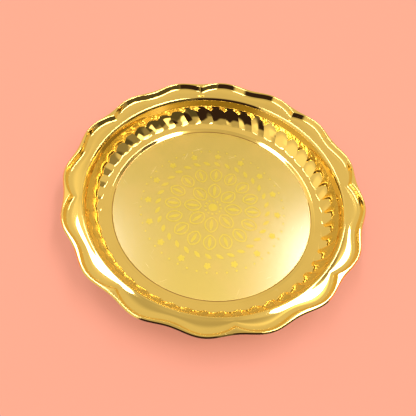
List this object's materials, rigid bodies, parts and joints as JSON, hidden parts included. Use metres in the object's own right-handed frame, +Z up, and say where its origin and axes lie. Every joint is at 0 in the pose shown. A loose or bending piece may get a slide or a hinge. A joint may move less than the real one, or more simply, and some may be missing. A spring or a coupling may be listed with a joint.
{
  "type": "puja thali",
  "caption": "Round shallow ritual tray in polished brass sheet, with a scalloped raised rim, swirled flutes around the wall and a faint printed lotus rosette on its flat floor.",
  "frame": {"origin": "middle of the flat underside, on the surface that the tray stands on", "axes": "+Z up through the middle of the tray; +X through the middle of one rim lobe"},
  "size_m": [0.254, 0.254, 0.0307],
  "materials": {
    "polished_brass": "mirror polished, gold tone",
    "printed_film": "thin matte print"
  },
  "bodies": {
    "root": {"dish": "polished_brass", "print_centre": "printed_film", "print_seeds": "printed_film", "print_inner_petals": "printed_film", "print_outer_petals": "printed_film", "print_leaves": "printed_film", "print_blossoms": "printed_film", "print_border_dots": "printed_film"}
  },
  "joints": []
}
